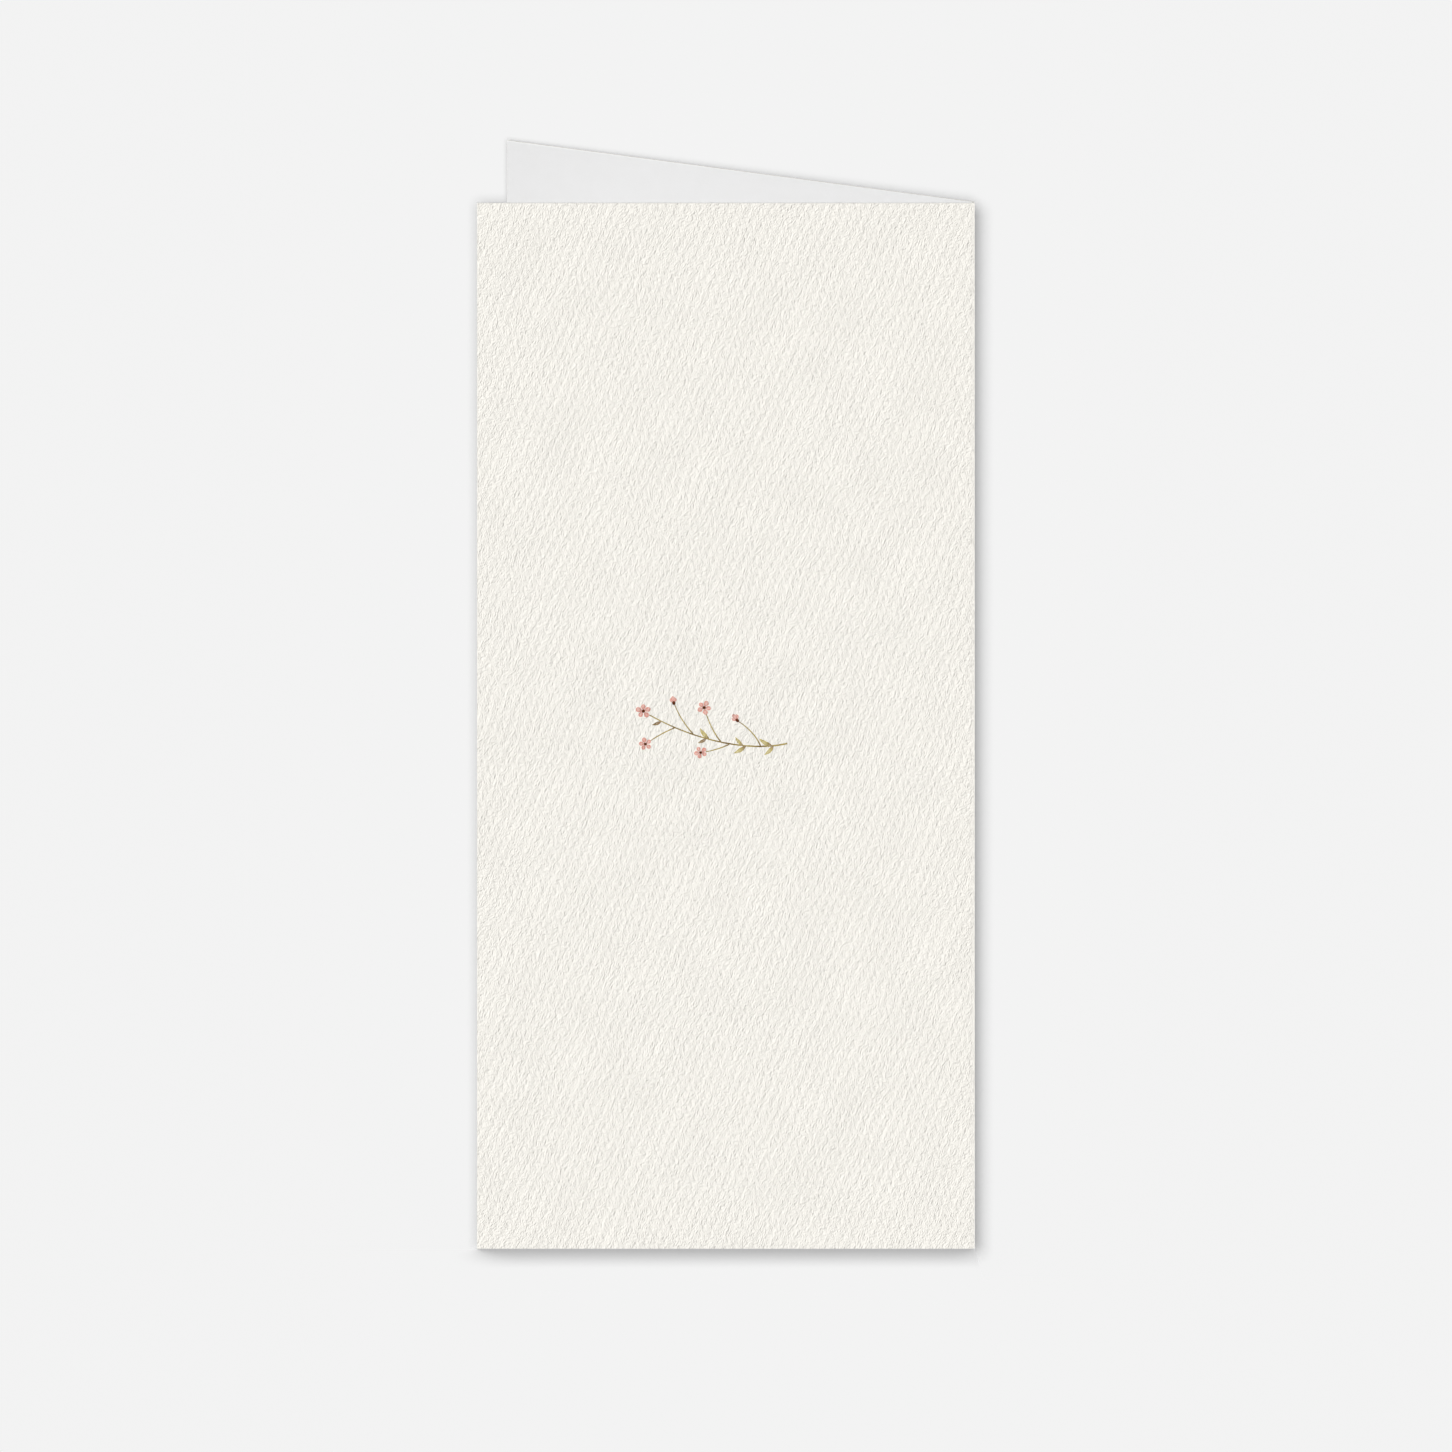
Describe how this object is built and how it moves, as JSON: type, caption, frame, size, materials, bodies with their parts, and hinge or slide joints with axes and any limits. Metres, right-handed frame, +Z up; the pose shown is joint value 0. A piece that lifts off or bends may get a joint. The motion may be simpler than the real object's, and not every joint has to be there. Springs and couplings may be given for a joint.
{
  "type": "menu card",
  "caption": "Tall single-fold card that stands open on its bottom edges, with felt-marked outer faces, smooth inner faces and a small printed sprig on its back.",
  "frame": {"origin": "on the floor, at the centre of the box that the open card fills", "axes": "+Z up along the fold; -Y is the outside of the back leaf; the fold is at +X and the card opens towards -X"},
  "size_m": [0.1, 0.0434, 0.21],
  "materials": {
    "card_stock": "matte, felt-marked"
  },
  "bodies": {
    "root": {"menu_card": "card_stock"}
  },
  "joints": []
}
